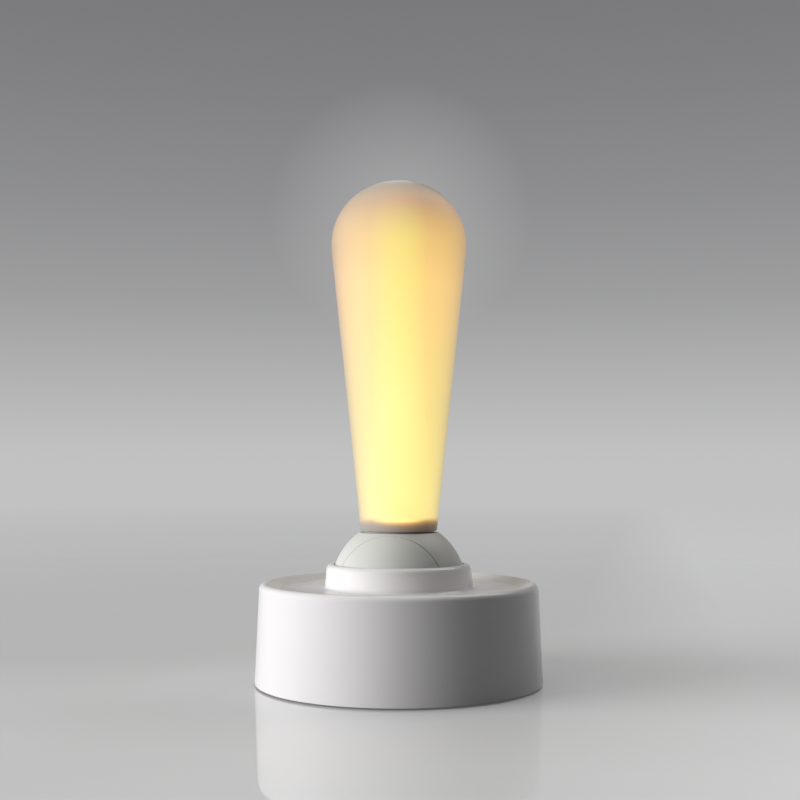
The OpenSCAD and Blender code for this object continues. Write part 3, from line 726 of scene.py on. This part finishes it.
def foil_finish():
    """Laminated foil of the cell, with creases and a band of amber tape over its seam."""
    tree, shader = metal_finish("cell_foil", rough=0.32, shade=0.05)
    place = object_place(tree)
    sockets = {"Vector": place, "Scale": 140.0}
    crease = add(tree, "ShaderNodeTexVoronoi", sockets, feature="DISTANCE_TO_EDGE").outputs["Distance"]
    bump(tree, shader, spread(tree, crease, 0.0, 0.25), 0.03 * MM)
    tape = calc(tree, "LESS_THAN", split(tree, place)["Y"], CELL_LOW.y + TAPE_LENGTH)
    cover_metal(tree, shader, tape, TAPE_AMBER)


def board_finish():
    """Solder mask over copper runs, with bare plated dots."""
    tree, shader, colour = start_finish("board_green")
    place = object_place(tree)
    brick = {"Scale": 260.0, "Mortar Size": 0.06, "Brick Width": 0.9, "Row Height": 0.3}
    runs = add(tree, "ShaderNodeTexBrick", {"Vector": place, **brick}).outputs["Fac"]
    dots = add(tree, "ShaderNodeTexVoronoi", {"Vector": place, "Scale": 240.0}).outputs["Distance"]
    dot = calc(tree, "LESS_THAN", dots, 0.09)
    mask = mix_colours(tree, runs, scaled(colour, 0.8), scaled(colour, 1.5))
    paint = mix_colours(tree, dot, mask, DOT_GOLD)
    gloss = spread(tree, runs, 0.0, 1.0, 0.45, 0.3)
    feed(tree, shader, {"Base Color": paint, "Roughness": gloss, "Metallic": dot})
    bump(tree, shader, runs, 0.02 * MM)


def component_finish():
    """Black moulded cases, and ivory lead sockets where these stand."""
    tree, shader = moulded_finish("component_black", rough=0.5, grain=2600.0, depth=0.006 * MM, shade=0.15)
    parts = split(tree, object_place(tree))
    half, front, back = 3.2 * MM, PARTS_LOW.y - MM, PARTS_LOW.y + 5 * MM
    cell_socket = inside_box(tree, parts, (-half, front, 0.0), (half, back, 1.0))
    reach = Vector((2.6 * MM, 2.6 * MM, 1.0))
    at = Vector((LEADS_HIGH.x - LEAD_RADIUS, LEADS_HIGH.y - LEAD_RADIUS - LEAD_HALF_PITCH, 0.0))
    light_socket = inside_box(tree, parts, at - reach, at + reach)
    paint_over(tree, shader, calc(tree, "ADD", cell_socket, light_socket, clamp=True), SOCKET_IVORY)


def socket_finish():
    """Plated shell of the charging socket, with its dark tongue."""
    tree, shader = metal_finish("socket_steel", rough=0.28, stretch=(0.1, 1.0, 1.0))
    parts = split(tree, object_place(tree))
    middle = (PORT_LOW + PORT_HIGH) / 2
    reach = Vector((3.36 * MM, 1.0, 0.37 * MM))
    low = middle - reach
    low.y = PORT_LOW.y + 0.9 * MM
    cover_metal(tree, shader, inside_box(tree, parts, low, middle + reach), DARK)


def chip_finish():
    """Lit phosphor of the light chips."""
    tree, shader = moulded_finish("chip_phosphor", rough=0.4, grain=3000.0)
    feed(tree, shader, {"Emission Color": CHIP_GLOW, "Emission Strength": 1.0})


class LAMP_OT_finishes(bpy.types.Operator):
    """Build the finishes and give every CAD node its own"""

    bl_idname = "lamp.finishes"
    bl_label = "Finishes"

    def execute(self, context):
        colours = context.scene.lamp_finishes
        make_moulded_skin()
        make_drawn_metal()
        make_settled_dust()
        drum = {"colour": colours.drum, "dust": 0.12, "shade": 0.012}
        ball = {"colour": colours.ball, "dust": 0.08, "shade": 0.015}
        moulded_finish("gloss_white", rough=0.18, grain=700.0, depth=0.0015 * MM, **drum)
        moulded_finish("satin_white", rough=0.42, grain=2200.0, depth=0.003 * MM, **ball)
        silicone_finish(colours)
        moulded_finish("cover_white", rough=0.55, grain=1600.0, depth=0.02 * MM)
        # The plug takes the grey as painted shade in the gap between the ball and the stick's foot
        moulded_finish("holder_white", rough=0.4, grain=2200.0, colour=colours.plug)
        moulded_finish("pad_rubber", rough=0.75, grain=1300.0, depth=0.02 * MM, shade=0.12)
        moulded_finish("slider_black", rough=0.38, grain=2400.0, shade=0.15)
        moulded_finish("led_board_white", rough=0.45, grain=2600.0, shade=0.04)
        moulded_finish("lead_red", rough=0.42, grain=1800.0, shade=0.08)
        moulded_finish("lead_red", rough=0.42, grain=1800.0, name=BLACK_LEAD, colour=DARK, shade=0.1)
        metal_finish("screw_steel", rough=0.3, stretch=(1.0, 1.0, 0.2))
        metal_finish("plate_steel", rough=0.42, stretch=(0.04, 1.0, 1.0), shade=0.2, depth=0.01 * MM)
        metal_finish("pin_steel", rough=0.2, stretch=(1.0, 0.05, 1.0), shade=0.08)
        metal_finish("bush_brass", rough=0.4, shade=0.2, depth=0.015 * MM)
        foil_finish()
        board_finish()
        component_finish()
        socket_finish()
        chip_finish()
        for piece in NODES.values():
            for place in piece.material_slots:
                place.material = bpy.data.materials[FINISHES[place.material.name]]
        return {"FINISHED"}


def drum_outline(sizes):
    """Closed outline of the drum wall, rim, deck, collar and socket."""
    foot = (SHELL_HIGH.x, SHELL_LOW.z)
    deck = PIVOT.z
    rim_top = deck + sizes.deck_depth
    under = deck - sizes.deck_thickness
    skirt = under - SKIRT_DEPTH
    lean = math.tan(sizes.draft)
    cover_top = PLATE_LOW.z
    inner_foot = foot[0] - (cover_top - foot[1]) * lean - sizes.wall
    inner_top = foot[0] - (under - foot[1]) * lean - sizes.wall
    half_way = (cover_top + under) / 2
    cover_seat = COVER_HIGH.x + COVER_GAP
    rim_z = rim_top - sizes.rim_round
    rim = (nestle(foot, sizes.draft, sizes.rim_round, rim_z), rim_z)
    crease = (foot[0] - (rim_top - foot[1]) * lean - sizes.rim_width, deck)
    socket = BALL_HIGH.x + sizes.socket_gap
    collar_foot = (socket + sizes.collar_wall, deck)
    lip_z = SHELL_HIGH.z - sizes.collar_round
    lip = (nestle(collar_foot, sizes.collar_draft, sizes.collar_round, lip_z), lip_z)
    mouth_turn = math.asin((SHELL_HIGH.z - deck) / socket)
    mouth = socket * math.cos(mouth_turn)
    edge = sizes.edge_round
    path = [
        ((inner_foot + inner_top) / 2, half_way, 0),
        (inner_foot, cover_top, edge),
        (cover_seat, cover_top, edge),
        (cover_seat, foot[1], edge),
        (*foot, sizes.foot_round),
        *arc(rim, sizes.rim_round, sizes.draft, touch_turn(crease, rim, sizes.rim_round, -1), steps=20),
        (*crease, 0),
        (crease[0] - sizes.crease_width / 2, deck - sizes.crease_depth, sizes.crease_depth / 3),
        (crease[0] - sizes.crease_width, deck, sizes.crease_depth / 3),
        (*collar_foot, sizes.collar_fillet),
        *arc(lip, sizes.collar_round, sizes.collar_draft, math.pi / 2, steps=12),
        (mouth, SHELL_HIGH.z, edge),
        *arc((0, deck), socket, mouth_turn * MOUTH_SHARE, 0, steps=12),
        (socket, skirt, edge),
        (collar_foot[0], skirt, edge),
        (collar_foot[0], under, edge),
        (inner_top, under, 4 * edge),
    ]
    return rounded(path, closed=True)


def screw_places(node, head):
    """Middles of the four screws of a node, from its box and the radius of a head."""
    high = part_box(node)[1]
    x = high.x - head
    y = high.y - head
    return [(side_x * x, side_y * y) for side_x in (-1, 1) for side_y in (-1, 1)]


class LAMP_OT_drum(bpy.types.Operator):
    """Model the drum with its collar, screw bosses and charging window"""

    bl_idname = "lamp.drum"
    bl_label = "Drum"

    def execute(self, context):
        sizes = context.scene.lamp_drum
        under = PIVOT.z - sizes.deck_thickness
        drum = lathe("drum_shell", drum_outline(sizes), closed=True)
        # Screws of each kind: node, head radius, boss radius, foot of the boss, pilot radius
        kinds = [
            ("cover_screws", 2.2 * MM, 4.7 * MM, PLATE_HIGH.z, 1.3 * MM),
            ("board_screws", 1.9 * MM, 2.7 * MM, BOARD_HIGH.z, 1.1 * MM),
            ("cheek_screws", 1.9 * MM, 2.7 * MM, CHEEK_LOW.z + 2.5 * MM, 1.1 * MM),
        ]
        bosses = []
        pilots = []
        for node, head, boss, low, pilot in kinds:
            for at in screw_places(node, head):
                bosses.append(post(boss, low, under + MM, at))
                pilots.append(post(pilot, low - MM, under - MM, at))
        combine(drum, join(bosses), "UNION")
        combine(drum, join(pilots), "DIFFERENCE")
        combine(drum, self.window(sizes), "DIFFERENCE")
        smooth(drum)
        settle(drum, "base", "gloss_white", "base_shell")
        return {"FINISHED"}

    def window(self, sizes):
        """Bar with round edges that cuts the charging window."""
        half = (PORT_HIGH.x - PORT_LOW.x) / 2 + WINDOW_GAP
        low = Vector((-half, SHELL_HIGH.y - 2 * sizes.wall - MM, PORT_LOW.z - WINDOW_GAP))
        high = Vector((half, SHELL_HIGH.y + MM, PORT_HIGH.z + WINDOW_GAP))
        tool = box(low, high)
        bevel_edges(
            tool,
            lambda start, end: abs(start.y - end.y) > MM,
            offset=(high.z - low.z) / 2 - 2 * MERGE_DISTANCE,
            segments=WINDOW_STEPS,
        )
        return tool


def club_outline(sizes):
    """Outline of the hollow club, from the top of its room round its foot to its crown."""
    foot_z = STICK_LOW.z
    crown = STICK_HIGH.x - sizes.crown_flat
    head = (sizes.crown_flat, STICK_HIGH.z - crown)
    foot = (sizes.foot_radius, foot_z)
    inner_foot = (sizes.foot_radius - sizes.wall, foot_z)
    inner = crown - sizes.wall
    outer_turn = touch_turn(foot, head, crown, 1)
    inner_turn = touch_turn(inner_foot, head, inner, 1)
    inner_touch = (head[0] + inner * math.cos(inner_turn), head[1] + inner * math.sin(inner_turn))
    slope = (inner_touch[0] - inner_foot[0]) / (inner_touch[1] - foot_z)
    plug_top = foot_z + sizes.plug_height
    bore = inner_foot[0]
    bead_low = foot_z + (sizes.plug_height - sizes.bead_height) / 2 - sizes.seat_gap
    bead_high = bead_low + sizes.bead_height + 2 * sizes.seat_gap
    groove = bore + sizes.bead_reach
    edge = STICK_EDGE
    path = [
        (0, STICK_HIGH.z - sizes.wall, 0),
        *arc(head, inner, math.pi / 2, inner_turn, steps=40),
        (bore + slope * sizes.plug_height, plug_top, edge),
        (bore, plug_top, edge),
        (bore, bead_high, edge),
        (groove, bead_high, edge),
        (groove, bead_low, edge),
        (bore, bead_low, edge),
        (bore, foot_z, edge),
        (*foot, sizes.foot_round),
        *arc(head, crown, outer_turn, math.pi / 2, steps=64),
        (0, STICK_HIGH.z, 0),
    ]
    return rounded(path)


class LAMP_OT_stick(bpy.types.Operator):
    """Model the hollow silicone stick"""

    bl_idname = "lamp.stick"
    bl_label = "Light stick"

    def execute(self, context):
        stick = lathe("light_stick", club_outline(context.scene.lamp_stick), closed=False)
        smooth(stick)
        settle(stick, "rocker", "frosted_silicone", "diffuser")
        return {"FINISHED"}


class LAMP_OT_pad(bpy.types.Operator):
    """Model the grip pad with its two ring grooves"""

    bl_idname = "lamp.pad"
    bl_label = "Grip pad"

    def execute(self, context):
        radius = PAD_HIGH.x
        low = PAD_LOW.z
        roof = low + GROOVE_DEPTH
        path = [(0, low, 0)]
        for inset in GROOVE_INSETS:
            inner = radius - inset - GROOVE_HALF
            outer = radius - inset + GROOVE_HALF
            corners = ((inner, low), (inner, roof), (outer, roof), (outer, low))
            path += [(*corner, PAD_EDGE) for corner in corners]
        path += [(radius, low, 2 * PAD_EDGE), (radius, PAD_HIGH.z, PAD_EDGE), (0, PAD_HIGH.z, 0)]
        pad = lathe("grip_pad", rounded(path, steps=4), closed=False)
        smooth(pad)
        settle(pad, "base", "pad_rubber", "foot_pad")
        return {"FINISHED"}


class LAMP_OT_cell(bpy.types.Operator):
    """Model the pouch cell and its two leads"""

    bl_idname = "lamp.cell"
    bl_label = "Battery cell and leads"

    def execute(self, context):
        box(Vector((CELL_LOW.x, CELL_LOW.y + SEAM_LENGTH, CELL_LOW.z)), CELL_HIGH)
        cell = named("cell_pouch")
        bevel_edges(cell, lambda start, end: abs(start.z - end.z) > MM, offset=2.6 * MM, segments=6)
        bevel_edges(cell, self.round_flat_side, offset=1.1 * MM, segments=4)
        self.fold_seam(cell)
        smooth(cell)
        settle(cell, "base", "cell_foil", "battery_cell")
        self.leads()
        return {"FINISHED"}

    def round_flat_side(self, start, end):
        """Test for the edges round the upper and the lower side."""
        if abs(start.z - end.z) >= MERGE_DISTANCE:
            return False
        return min(abs(start.z - CELL_LOW.z), abs(start.z - CELL_HIGH.z)) < MERGE_DISTANCE

    def fold_seam(self, cell):
        """Draw a fold of the seam's length from the largest face that points to the front."""
        activate(cell)
        front = max(cell.data.polygons, key=lambda face: face.area * (face.normal.y < -0.99)).index
        bpy.ops.object.mode_set(mode="EDIT")
        bpy.ops.mesh.select_mode(type="FACE")
        bpy.ops.mesh.select_all(action="DESELECT")
        bpy.ops.object.mode_set(mode="OBJECT")
        cell.data.polygons[front].select = True
        bpy.ops.object.mode_set(mode="EDIT")
        bpy.ops.mesh.inset(thickness=SEAM_INSET)
        bpy.ops.mesh.extrude_region_move(TRANSFORM_OT_translate={"value": (0, -SEAM_LENGTH, 0)})
        # The rounds cross at the pouch's edge, and what is inside there is outside for the rest
        close_mesh(inside=True)

    def leads(self):
        """Bend two leads round the edge of the board into their socket."""
        low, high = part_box("battery_leads")
        bottom = low.z + LEAD_RADIUS
        top = high.z - LEAD_RADIUS
        bend = (top - bottom) / 2
        front = low.y + LEAD_RADIUS
        for side, name, finish in ((1, "cell_lead_red", None), (-1, "cell_lead_black", BLACK_LEAD)):
            x = side * (high.x - LEAD_RADIUS)
            points = [Vector((x, high.y, bottom)), Vector((x, front + bend, bottom))]
            for step in range(1, BEND_STEPS):
                turn = math.pi * step / BEND_STEPS
                y = front + bend - bend * math.sin(turn)
                points.append(Vector((x, y, bottom + bend - bend * math.cos(turn))))
            points += [Vector((x, front + bend, top)), Vector((x, PARTS_LOW.y, top))]
            lead = wire(name, points, LEAD_RADIUS, smoothing=2)
            smooth(lead)
            settle(lead, "base", "lead_red", "battery_leads", finish=finish)


class LAMP_OT_light_leads(bpy.types.Operator):
    """Draw the two leads from the light board to the main board"""

    bl_idname = "lamp.light_leads"
    bl_label = "Light leads"

    def execute(self, context):
        half = LEAD_HALF_PITCH
        socket = Vector((LEADS_HIGH.x - LEAD_RADIUS, LEADS_HIGH.y - LEAD_RADIUS - half, LEADS_LOW.z))
        stub = socket + Vector((0, 0, LEAD_STUB))
        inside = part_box("holder_screws")[0].z + 1.3 * MM
        # Bends from the pivot, in millimetres
        bends = [
            (0, 0, 10), (1, 1, 8.5), (3, 2.5, 7), (5.5, 4, 5.5), (7, 5.2, 3.5), (7.8, 6, 1),
            (8.2, 6.5, -2), (8.8, 6.9, -5), (10, 7.3, -7.5),
        ]
        route = [Vector((0, 0, LEADS_HIGH.z)), Vector((0, 0, inside))]
        route += [PIVOT + Vector(bend) * MM for bend in bends]
        route += [stub, socket]
        for side, name, finish in ((1, "light_lead_red", None), (-1, "light_lead_black", BLACK_LEAD)):
            points = [point + Vector((0, side * half, 0)) for point in route]
            lead = wire(name, points, LEAD_RADIUS, smoothing=3)
            smooth(lead)
            dress(lead, "lead_red", finish)
            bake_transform(lead)
            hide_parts("led_leads")
        return {"FINISHED"}


class LAMP_OT_spring(bpy.types.Operator):
    """Wind the centring spring round the pin, with two legs"""

    bl_idname = "lamp.spring"
    bl_label = "Centring spring"

    def execute(self, context):
        low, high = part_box("centring_spring")
        radius = high.x - SPRING_WIRE
        front = low.y + SPRING_WIRE
        back = high.y - SPRING_WIRE
        count = round(SPRING_TURNS * SPRING_STEPS)
        points = []
        for step in range(count + 1):
            turn = math.tau * step / SPRING_STEPS
            y = front + (back - front) * step / count
            points.append(Vector((radius * math.cos(turn), y, PIVOT.z + radius * math.sin(turn))))
        coil = wire("wound_spring", points, SPRING_WIRE, smoothing=1)
        smooth(coil)
        settle(coil, "base", "pin_steel", "centring_spring")
        for name, side, top in (("spring_leg_front", 1, points[0]), ("spring_leg_back", -1, points[-1])):
            foot = Vector((top.x, top.y, low.z))
            leg = wire(name, [top, (top + foot) / 2, foot], SPRING_WIRE, smoothing=1)
            smooth(leg)
            settle(leg, "base", "pin_steel", "centring_spring")
            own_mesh(leg)
        return {"FINISHED"}


class LAMP_OT_stage(bpy.types.Operator):
    """Set the camera, the lights, the floor and the backdrop"""

    bl_idname = "lamp.stage"
    bl_label = "Stage"

    def execute(self, context):
        settings = context.scene.lamp_stage
        turn = settings.camera_turn
        toward = Vector((math.sin(turn), -math.cos(turn), 0))
        right = Vector((math.cos(turn), math.sin(turn), 0))
        self.camera(context, settings, toward, right)
        self.lights(settings, toward, right)
        self.floor(settings)
        self.backdrop(context, settings, toward)
        context.scene.view_settings.view_transform = "Standard"
        return {"FINISHED"}

    def camera(self, context, settings, toward, right):
        """Set the camera at the photograph's viewpoint."""
        deselect()
        place = toward * settings.camera_distance + right * settings.camera_side
        place.z = settings.camera_height
        ahead = -toward * math.cos(settings.camera_tilt) + Vector((0, 0, math.sin(settings.camera_tilt)))
        turned = ahead.to_track_quat("-Z", "Y").to_euler()
        bpy.ops.object.camera_add(location=place, rotation=turned)
        camera = bpy.context.object
        camera.name = "photo_camera"
        camera.data.sensor_width = 36.0
        camera.data.lens = settings.lens
        camera.data.clip_start = 0.01
        camera.data.clip_end = 20.0
        context.scene.camera = camera

    def area_light(self, name, direction, distance, panel, watts):
        """Add a rectangular light that faces the lamp."""
        deselect()
        turned = (-direction).to_track_quat("-Z", "Y").to_euler()
        bpy.ops.object.light_add(type="AREA", location=AIM + direction * distance, rotation=turned)
        light = bpy.context.object
        light.name = name
        light.data.shape = "RECTANGLE"
        light.data.size, light.data.size_y = panel
        light.data.energy = watts
        return light

    def lights(self, settings, toward, right):
        """Broad key light from the left, a soft one overhead and a small one behind, on the right."""
        flat = toward * math.cos(settings.key_turn) - right * math.sin(settings.key_turn)
        left = flat * math.cos(settings.key_rise) + Vector((0, 0, math.sin(settings.key_rise)))
        key = self.area_light("key_light", left, KEY_DISTANCE, KEY_PANEL, settings.key_power)
        key.visible_glossy = False
        self.area_light("top_light", TOP_DIRECTION, TOP_DISTANCE, TOP_PANEL, settings.top_power)
        behind = (right * EDGE_RIGHT - toward * EDGE_BACK) * EDGE_FLAT + Vector((0, 0, EDGE_RISE))
        self.area_light("edge_light", behind, EDGE_DISTANCE, EDGE_PANEL, settings.edge_power)

    def floor(self, settings):
        """Polished pale floor that fades into the backdrop, with painted light that brightens it, more towards the
        front and on the right where the lamp's shadow falls.
        """
        deselect()
        bpy.ops.mesh.primitive_plane_add(size=FLOOR_SIZE)
        floor = named("stage_floor")
        material = bpy.data.materials.new("polished floor")
        material.use_nodes = True
        tree = material.node_tree
        shader = tree.nodes["Principled BSDF"]
        path = add(tree, "ShaderNodeLightPath").outputs
        seen = calc(tree, "MAXIMUM", path["Is Camera Ray"], path["Is Glossy Ray"])
        pale = (*settings.floor, 1.0)
        paint = mix_colours(tree, seen, scaled(pale, FLOOR_BOUNCE), pale)
        place = object_place(tree)
        parts = split(tree, place)
        # Painted light: emission seen by the camera, brighter towards the front and on the right where the lamp's
        # shadow falls
        near_painted_light = spread(tree, parts["Y"], *PAINTED_LIGHT_NEAR)
        painted_lift = calc(tree, "ADD", near_painted_light, spread(tree, parts["X"], *PAINTED_LIGHT_RIGHT))
        glow = calc(tree, "MULTIPLY", seen, painted_lift)
        feed(tree, shader, {"Base Color": paint, "Emission Strength": glow, **FLOOR_SURFACE})
        reach = add(tree, "ShaderNodeVectorMath", {0: place}, operation="LENGTH").outputs["Value"]
        fade = spread(tree, reach, FADE_START, FADE_END)
        clear = add(tree, "ShaderNodeBsdfTransparent")
        blend = add(tree, "ShaderNodeMixShader", {0: fade, 1: shader.outputs[0], 2: clear.outputs[0]})
        feed(tree, tree.nodes["Material Output"], {"Surface": blend.outputs[0]})
        floor.data.materials.append(material)

    def backdrop(self, context, settings, toward):
        """Grey backdrop, darker towards the top, with a halo of painted light from the lamp and a low even light.
        """
        world = bpy.data.worlds.new("studio")
        world.use_nodes = True
        context.scene.world = world
        tree = world.node_tree
        shade = tree.nodes["Background"]
        direction = add(tree, "ShaderNodeTexCoord").outputs["Generated"]
        seen = ramp(tree, split(tree, direction)["Z"], BACKDROP)
        # Painted light: a pale halo round the head of the stick, standing for its glow on the backdrop
        middle = tuple(Vector((0, 0, HALO_RISE)) - toward * HALO_AHEAD)
        sockets = {0: direction, 1: middle}
        apart = add(tree, "ShaderNodeVectorMath", sockets, operation="DISTANCE").outputs["Value"]
        seen = mix_colours(tree, spread(tree, apart, HALO_CORE, HALO_REACH, HALO_GLOW, 0.0), seen, WHITE)
        path = add(tree, "ShaderNodeLightPath").outputs
        direct = calc(tree, "MAXIMUM", path["Is Camera Ray"], path["Is Glossy Ray"])
        direct = calc(tree, "MAXIMUM", direct, path["Is Transmission Ray"])
        even = (settings.ambient, settings.ambient, settings.ambient * 1.02, 1.0)
        feed(tree, shade, {"Color": mix_colours(tree, direct, even, seen)})


class LAMP_PT_sidebar(bpy.types.Panel):
    """Sizes, colours and modelling steps of the lamp"""

    bl_idname = "LAMP_PT_sidebar"
    bl_label = "Rocker table lamp"
    bl_space_type = "VIEW_3D"
    bl_region_type = "UI"
    bl_category = "Lamp"

    def draw(self, context):
        for name, kind in GROUPS.items():
            frame_box = self.layout.box()
            frame_box.label(text=kind.__doc__)
            for key in kind.__annotations__:
                frame_box.prop(getattr(context.scene, name), key)
        for step in STEPS:
            self.layout.operator(step.bl_idname)


GROUPS = {
    "lamp_drum": DrumSizes,
    "lamp_stick": StickSizes,
    "lamp_finishes": LampFinishes,
    "lamp_stage": StageSettings,
}
STEPS = (
    LAMP_OT_finishes,
    LAMP_OT_drum,
    LAMP_OT_stick,
    LAMP_OT_pad,
    LAMP_OT_cell,
    LAMP_OT_light_leads,
    LAMP_OT_spring,
    LAMP_OT_stage,
)


def register():
    """Add the classes and their settings to Blender."""
    for kind in (*GROUPS.values(), *STEPS, LAMP_PT_sidebar):
        bpy.utils.register_class(kind)
    for name, group in GROUPS.items():
        setattr(bpy.types.Scene, name, PointerProperty(type=group))


def unregister():
    """Take the settings and the classes out of Blender."""
    for name in GROUPS:
        delattr(bpy.types.Scene, name)
    for kind in (LAMP_PT_sidebar, *reversed(STEPS), *GROUPS.values()):
        bpy.utils.unregister_class(kind)


def main():
    """Register the add-on and run its steps in order."""
    register()
    bpy.ops.lamp.finishes()
    bpy.ops.lamp.drum()
    bpy.ops.lamp.stick()
    bpy.ops.lamp.pad()
    bpy.ops.lamp.cell()
    bpy.ops.lamp.light_leads()
    bpy.ops.lamp.spring()
    bpy.ops.lamp.stage()


if __name__ == "__main__":
    main()
